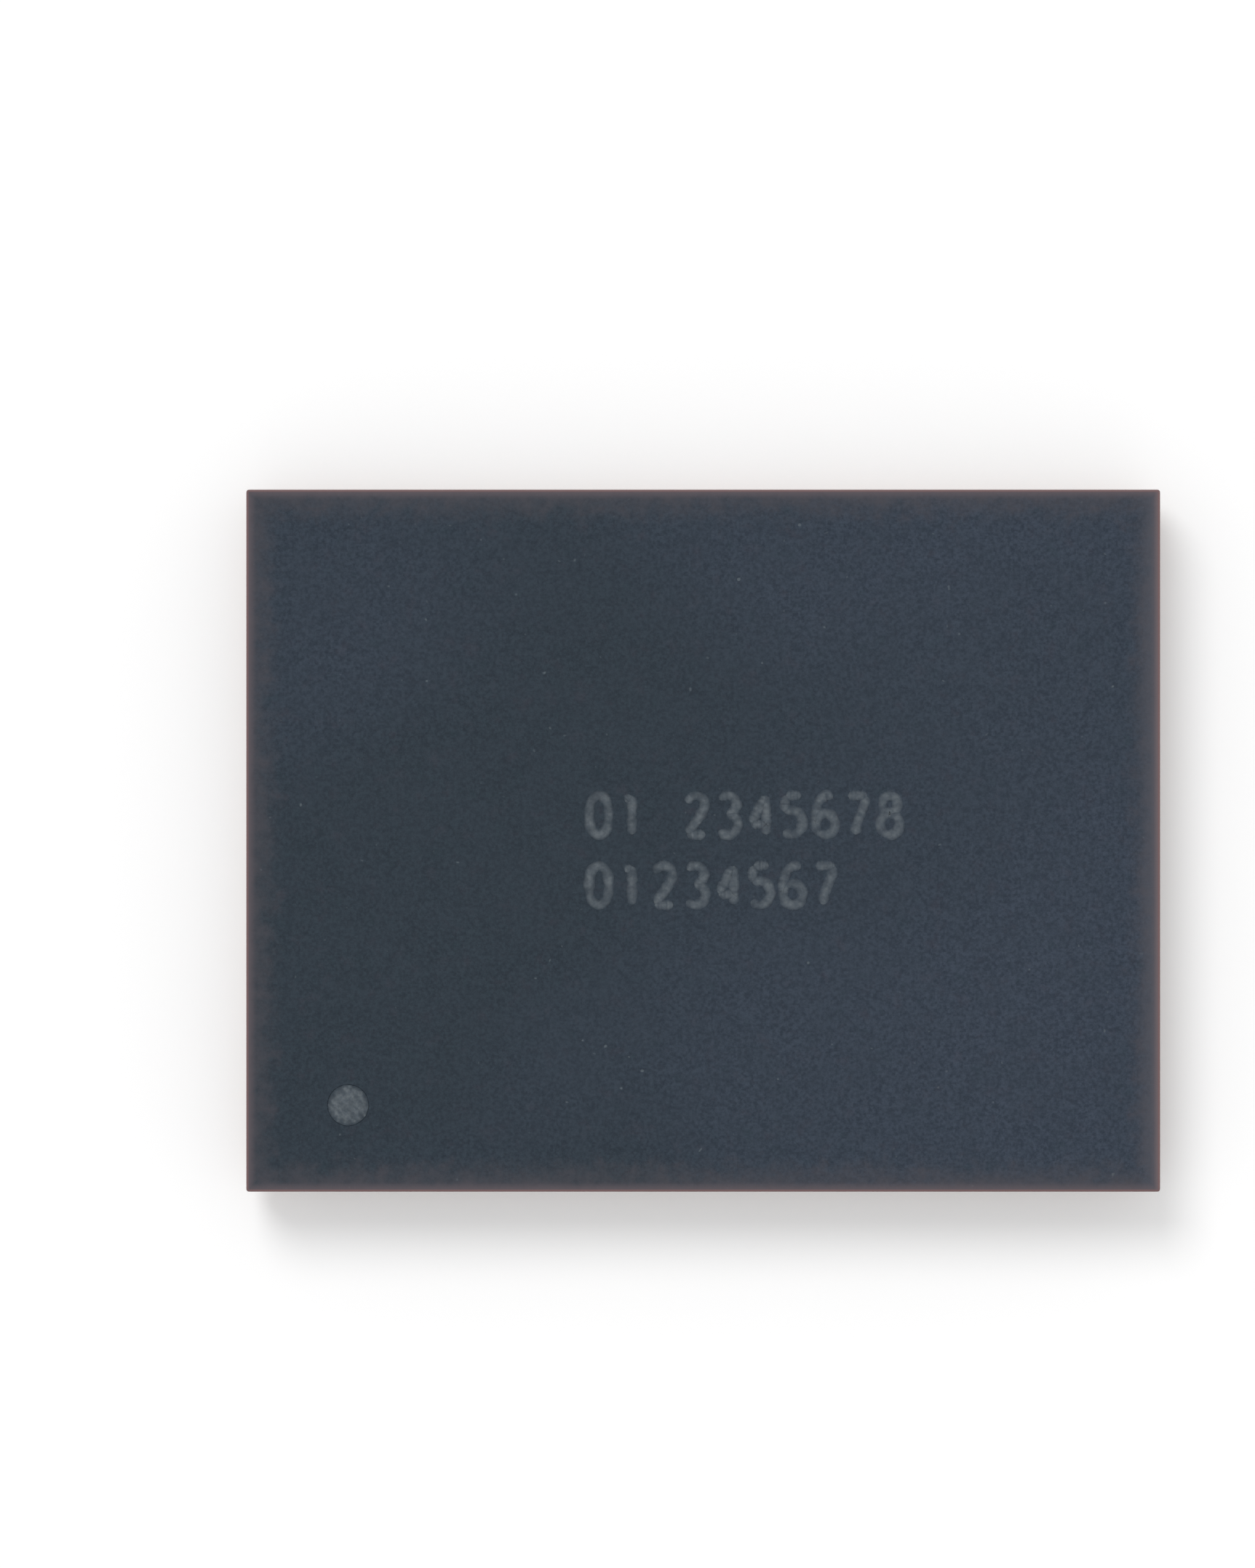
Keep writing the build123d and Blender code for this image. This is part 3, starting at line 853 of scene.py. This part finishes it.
film_low, film_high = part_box("polyimide_film")
film_edge, film_out_way, _ = die_outline(FILM_AROUND, half_length - film_high.x)
levels = film_low.z + (film_high.z - film_low.z) * FILM_UP
slope = raised(film_edge - film_out_way * FILM_IN[:, None, None], levels[:, None])
solid = ring_solid(np.concatenate([slope[:1] * [FLAT_PART, FLAT_PART, 1], slope]))
film_piece = mesh_object("slumped_film", solid, film_finish, sharp_angle=40)
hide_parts("polyimide_film")
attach(film_piece, "root")

# %% [markdown]
# ## Pieces: the copper nets
#
# Plated copper keeps no sharp corner: bends and pad corners are round, and its edges fall off in a
# soft shoulder. A highlight is painted along that shoulder, so every trace has two pale lines. The
# imported nets have the true routes with sharp corners. Each net's outline is read from its imported
# node, its corners turn into short curves, and a shoulder profile is carried round it. All of it is
# done on whole arrays: every corner knows its neighbour before and after.

# %% The outline of a packed net
ROUND = 50 * UM
BEND_POINTS = 5
SHOULDER_IN = np.array([0.0, 0.4, 1.6, 4.0, 9.5]) * UM
SHOULDER_DOWN = np.array([0.0, 0.45, 0.78, 0.97, 1.0])
# How much highlight is painted on each level of the shoulder.
SHOULDER_LIGHT = np.array([0.2, 0.6, 1.0, 1.0, 0.0])


def plan_outline(node):
    """Corners round the faces of a node that look down, with the corner before and after each. A
    triangle's edge lies on the outline if no other triangle has it the other way round."""
    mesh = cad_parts[node].data
    places = np.empty(3 * len(mesh.vertices), np.float32)
    mesh.vertices.foreach_get("co", places)
    corners = np.empty(len(mesh.loops), np.int32)
    mesh.loops.foreach_get("vertex_index", corners)
    places, triangles = weld(places.reshape(-1, 3).astype(float), corners.reshape(-1, 3))
    low = places[triangles][:, :, 2].max(axis=1) < places[:, 2].min() + UM
    pairs = triangles[low][:, [[0, 1], [1, 2], [2, 0]]].reshape(-1, 2)
    forth, back = pairs @ [len(places), 1], pairs @ [1, len(places)]
    used, rim = np.unique(pairs[~np.isin(forth, back)], return_inverse=True)
    rim = rim.reshape(-1, 2)
    before, after = np.empty(len(used), int), np.empty(len(used), int)
    after[rim[:, 0]] = rim[:, 1]
    before[rim[:, 1]] = rim[:, 0]
    print(node, len(rim), "edges round", len(used), "corners")
    return places[used, :2], before, after


def curved_corners(corners, before, after):
    """Each corner c becomes (1-t)(1-t)a + 2t(1-t)c + tt*b, from a to b on its two edges, at most
    ROUND away and under half of the shorter edge. Also gives the outward direction at each point."""
    back, ahead = corners[before] - corners, corners[after] - corners
    back_length, ahead_length = np.linalg.norm(back, axis=1), np.linalg.norm(ahead, axis=1)
    reach = np.minimum(ROUND, 0.47 * np.minimum(back_length, ahead_length))
    start = (corners + back * (reach / back_length)[:, None])[:, None]
    end = (corners + ahead * (reach / ahead_length)[:, None])[:, None]
    middle = corners[:, None]
    t = np.linspace(0, 1, BEND_POINTS)[None, :, None]
    curve = (1 - t) ** 2 * start + 2 * t * (1 - t) * middle + t**2 * end
    heading = (1 - t) * (middle - start) + t * (end - middle)
    heading /= np.linalg.norm(heading, axis=-1, keepdims=True)
    return curve, np.stack([-heading[..., 1], heading[..., 0]], axis=-1)


# %% A flat cap inside an outline
def inside(spots, start, end):
    """True where a line from the spot towards +X crosses the outline an odd number of times."""
    x, y = spots[:, :1], spots[:, 1:]
    rise = end[:, 1] - start[:, 1]
    slope = (end[:, 0] - start[:, 0]) / np.where(rise == 0, 1, rise)
    straddles = (start[:, 1] > y) != (end[:, 1] > y)
    crossed = straddles & (x < start[:, 0] + (y - start[:, 1]) * slope)
    return crossed.sum(axis=1) % 2 == 1


def flat_cap(plan, segments):
    """Triangles between the segments of an outline, anticlockwise seen from above. The outline's own
    points keep their numbers, and points where it crosses itself follow them."""
    found = delaunay_2d_cdt([Vector(point) for point in plan / MM], segments.tolist(), [], 1, 1e-7)
    spots = np.array([tuple(point) for point in found[0]]) * MM
    triangles = np.array(found[2])
    middles = spots[triangles].mean(axis=1)
    start, end = plan[segments[:, 0]], plan[segments[:, 1]]
    kept = np.concatenate([inside(part, start, end) for part in np.array_split(middles, 20)])
    moved = np.abs(spots[: len(plan)] - plan).max()
    print("cap", len(plan), "points", len(spots) - len(plan), "more, moved", round(moved / UM, 4))
    return spots[len(plan) :].reshape(-1, 2), triangles[kept]


# %% Nets with soft shoulders
def copper_net(name, node):
    """The outline at each level of the shoulder, from the film down to the face, and both caps. The
    points that a cap adds come after all levels."""
    corners, before, after = plan_outline(node)
    curve, outward = curved_corners(corners, before, after)
    low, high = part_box(node)
    number = np.arange(curve.shape[0] * BEND_POINTS).reshape(curve.shape[:2])
    inner = np.stack([number[:, :-1].ravel(), number[:, 1:].ravel()], axis=-1)
    bridges = np.stack([number[:, -1], number[after, 0]], axis=-1)
    segments = np.concatenate([inner, bridges])
    plans = curve.reshape(-1, 2) - outward.reshape(-1, 2) * SHOULDER_IN[:, None, None]
    heights = high.z + (low.z - high.z) * SHOULDER_DOWN
    count = number.size
    step = np.arange(len(SHOULDER_IN) - 1)[:, None] * count
    first, second = segments.T
    sides = [step + first, step + second, step + second + count, step + first + count]
    points, caps = [raised(plans, heights[:, None]).reshape(-1, 3)], []
    for level, turned in ((0, 1), (len(heights) - 1, -1)):
        extra, cap = flat_cap(plans[level], segments)
        total = sum(len(part) for part in points)
        cap = np.where(cap < count, cap + level * count, cap - count + total)
        caps.append(cap[:, ::turned])
        points.append(raised(extra, heights[level]))
    solid = np.concatenate(points), np.stack(sides, axis=-1).reshape(-1, 4), np.concatenate(caps)
    made = mesh_object(name, solid, copper_finish, sharp_angle=40)
    # Each point keeps how much highlight is painted on it, under the name relief: most on the
    # shoulder, none on the flat top or on the caps' added points.
    light = np.zeros(len(solid[0]))
    light[: plans[..., 0].size] = np.repeat(SHOULDER_LIGHT, count)
    store(made, "relief", light)
    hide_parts(node)
    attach(made, "root")


NETS = ("perimeter_bus", "supply_trunks", "signal_traces", "copper_pour", "return_band", "via_pads")
for net in NETS:
    copper_net(f"plated_{net}", net)

# %% [markdown]
# ## Piece: via rings
#
# Where a pad's ear drops through the film to the circuits, the plating follows the hole: a small
# raised ring, painted lighter as a highlight, round a dimple painted dark as shade. There are about a
# hundred, so each has only a few dozen faces.

# %% Where the vias are
EAR_CENTRE = 0.132 * MM
EAR_RISE = math.radians(31)
LOW_EAR_COLUMNS = 2
PAD_REACH = 0.145 * MM
BAND_COLUMNS = (8.5, 9.5, 10.5, 11.5)
LAND_SPOTS = [(-0.43, 4.78), (0.42, -0.2), (-0.59, 6.22), (-0.38, 8.6)]
LAND_SPOTS += [(column - 0.13, 0.55) for column in (1.5, 3.5, 5.5)]
LAND_SPOTS += [(8.5, 1.42), (9.5, 2.46), (10.5, 1.44), (11.5, 3.5), (8.5, 4.52), (10.5, 5.5)]
LAND_SPOTS += [(column - 0.02, 0.79) for column in BAND_COLUMNS]
NECK_SPOTS = [(column - 0.117, 0.31) for column in BAND_COLUMNS]


def plan_spots(sites):
    """Plan points of places given in columns and rows from the first ball, towards -X and -Y."""
    return first_ball - PITCH * np.asarray(sites, float)


column, row = np.meshgrid(np.arange(COLUMNS), np.arange(ROWS), indexing="ij")
sites = np.stack([column.ravel(), row.ravel()], axis=-1)
pad_corners, _, _ = plan_outline("via_pads")
gap = np.linalg.norm(plan_spots(sites)[:, None] - pad_corners, axis=-1)
lone = sites[gap.min(axis=1) < PAD_REACH]
turn = np.pi + np.where(lone[:, 0] < LOW_EAR_COLUMNS, EAR_RISE, -EAR_RISE)
ear_spots = plan_spots(lone) + EAR_CENTRE * np.stack([np.cos(turn), np.sin(turn)], axis=-1)
via_spots = np.concatenate([ear_spots, plan_spots(NECK_SPOTS + LAND_SPOTS)])
print(len(lone), "pads with an ear,", len(NECK_SPOTS), "necks and", len(LAND_SPOTS), "lands")

# %% Rings as a turned profile
RING_AROUND = 12
RING_RADII = np.array([6.5, 12.5, 18.0, 22.0]) * UM
RING_DROP = np.array([0.3, 2.4, 1.9, -0.6]) * UM
# Painted light on each ring from the middle out: shade painted in the dimple, a highlight painted on
# the raised ring.
RING_PAINTED_LIGHT = np.array([-1.0, 0.9, 0.8, 0.0])
LAND_GROWTH = 1.35

angle = np.linspace(0, 2 * np.pi, RING_AROUND, endpoint=False)
turned = np.stack([np.cos(angle), np.sin(angle)], axis=-1) * RING_RADII[:, None, None]
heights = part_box("via_pads")[0].z - RING_DROP
points, quads, caps = ring_solid(raised(turned, heights[:, None]))
growth = np.ones((len(via_spots), 3))
growth[-len(LAND_SPOTS) :, :2] = LAND_GROWTH
rings = [(points * grown + [*spot, 0], quads, caps) for spot, grown in zip(via_spots, growth)]
rings_piece = mesh_object("via_rings", joined(rings), copper_finish)
# The dimple's middle point is painted dark as shade, the other middle point not at all.
one_painted_light = np.concatenate([np.repeat(RING_PAINTED_LIGHT, RING_AROUND), [-1.0, 0.0]])
store(rings_piece, "relief", np.tile(one_painted_light, len(via_spots)))
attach(rings_piece, "root")

# %% [markdown]
# ## Piece: the solder balls
#
# A ball is a drop of solder that froze as a sphere cut by its pad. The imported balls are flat-sided,
# so each row is replaced by thirteen smooth ones. Rings run from the tip to the neck. Each ball is a
# little out of round, and a test probe has left a small dark dimple in most tips. How dark it is
# stays with the points, for the solder's finish to read.

# %% One ball as a stack of rings
BALL_RINGS = 20
BALL_AROUND = 36
NECK_RADIUS = 0.105 * MM
FLARE = 6 * UM
DENT = 6 * UM
DENT_RADIUS = 10 * UM
DARKEST = 0.8


def ball_rings(centre_x, centre_y, seed):
    """Rings at angles from the tip to the neck. The radius is the sphere's less a few waves, the tip
    is dented by a bell curve, and the neck flares out to its pad."""
    chance = np.random.default_rng(seed)
    neck_angle = np.pi - math.asin(NECK_RADIUS / ball_radius)
    polar = np.linspace(0.05, neck_angle, BALL_RINGS)[:, None]
    round_it = np.linspace(0, 2 * np.pi, BALL_AROUND, endpoint=False)
    phase = chance.uniform(0, 2 * np.pi, 4)
    lumps = np.cos(2 * round_it + phase[0]) + np.cos(3 * round_it + phase[1]) * np.cos(2 * polar)
    lumps = lumps + np.cos(5 * round_it + phase[2]) * np.sin(3 * polar + phase[3])
    steady = np.clip((neck_angle - polar) / 0.5, 0, 1) * np.sin(polar) ** 0.5
    radius = ball_radius * (1 - 0.004 - 0.009 * steady * (1 + 0.33 * lumps))
    side = radius * np.sin(polar)
    darkness = np.exp(-((side / DENT_RADIUS) ** 2)) * chance.uniform(0.0, DARKEST)
    wide = side + FLARE * np.exp(-(neck_angle - polar) / 0.06)
    x, y = centre_x + wide * np.cos(round_it), centre_y + wide * np.sin(round_it)
    z = np.minimum(ball_radius - radius * np.cos(polar) + DENT * darkness, row_high.z)
    return np.stack([x, y, z], axis=-1), darkness


# %% Ten rows of balls
for row, letter in enumerate("abcdefghjk"):
    low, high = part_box(f"ball_row_{letter}")
    count = int(round((high.x - low.x - 2 * ball_radius) / PITCH)) + 1
    centres = low.x + ball_radius + PITCH * np.arange(count)
    middle = (low.y + high.y) / 2
    shaped = [ball_rings(x, middle, seed=100 * row + k) for k, x in enumerate(centres)]
    solid = joined([ring_solid(rings) for rings, _ in shaped])
    balls = mesh_object(f"solder_row_{letter}", solid, solder_finish, sharp_angle=60)
    pits = [np.append(darkness, [darkness.max(), 0.0]) for _, darkness in shaped]
    store(balls, "pit", np.concatenate(pits))
    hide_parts(f"ball_row_{letter}")
    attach(balls, "root")

# %% [markdown]
# ## Floor and light
#
# The chip lies on a wide pale floor. The lamps are set so that a colour shows about as it is
# written: an even sky and one broad sun add up to one on a level surface. Seen by the camera, or
# in a reflection, floor and sky are white, and only the shadow stays on the floor.

# %% Floor
FLOOR_HALF = 0.4
FLOOR_ALBEDO = 0.82
FLOOR_GLOW = 0.21


def seen_directly(tree):
    """1 where the camera, a reflection or a refraction sees the surface, else 0."""
    path = put(tree, "LightPath").outputs
    seen = maths(tree, "ADD", path["Is Camera Ray"], path["Is Glossy Ray"])
    return maths(tree, "ADD", seen, path["Is Transmission Ray"], clamp=True)


floor_finish, tree, shader, place = new_material("pale_floor", Roughness=0.9, Specular_IOR_Level=0.0)
shader.inputs["Base Color"].default_value = (FLOOR_ALBEDO, FLOOR_ALBEDO, FLOOR_ALBEDO, 1)
shader.inputs["Emission Color"].default_value = (1, 1, 1, 1)
glow = maths(tree, "MULTIPLY", seen_directly(tree), FLOOR_GLOW)
tree.links.new(glow, shader.inputs["Emission Strength"])
corners = np.array([[-1, -1, 0], [1, -1, 0], [1, 1, 0], [-1, 1, 0]]) * FLOOR_HALF
floor = mesh_object("floor", (corners, np.array([[0, 1, 2, 3]]), NO_CAPS), floor_finish)
floor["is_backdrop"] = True

# %% Sky and sun
SKY = 0.7
SUN = 1.2
SUN_WIDTH = math.radians(28)
SUN_TILT = math.radians(36)
SUN_HEADING = math.radians(118)

world = bpy.data.worlds.new("studio")
bpy.context.scene.world = world
world.use_nodes = True
tree = world.node_tree
background = tree.nodes["Background"]
background.inputs["Color"].default_value = (1, 1, 1, 1)
sky = fade(tree, seen_directly(tree), 0.0, 1.0, SKY, 1.0)
tree.links.new(sky, background.inputs["Strength"])

sun = bpy.data.objects.new("sun", bpy.data.lights.new("sun", "SUN"))
sun.data.energy = SUN
sun.data.angle = SUN_WIDTH
level = math.sin(SUN_TILT)
toward = Vector((level * math.cos(SUN_HEADING), level * math.sin(SUN_HEADING), math.cos(SUN_TILT)))
sun.rotation_mode = "QUATERNION"
sun.rotation_quaternion = toward.to_track_quat("Z", "Y")
bpy.context.scene.collection.objects.link(sun)
bpy.context.scene.view_settings.view_transform = "Standard"

# %% [markdown]
# ## Size
#
# The dressed chip is made to stay inside the box of the imported one, and the room left is printed.

# %% Compare the boxes and finish
low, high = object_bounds()
print("room left below", [round((a - b) / UM, 2) for a, b in zip(low, cad_low)], "microns")
print("room left above", [round((b - a) / UM, 2) for a, b in zip(high, cad_high)], "microns")
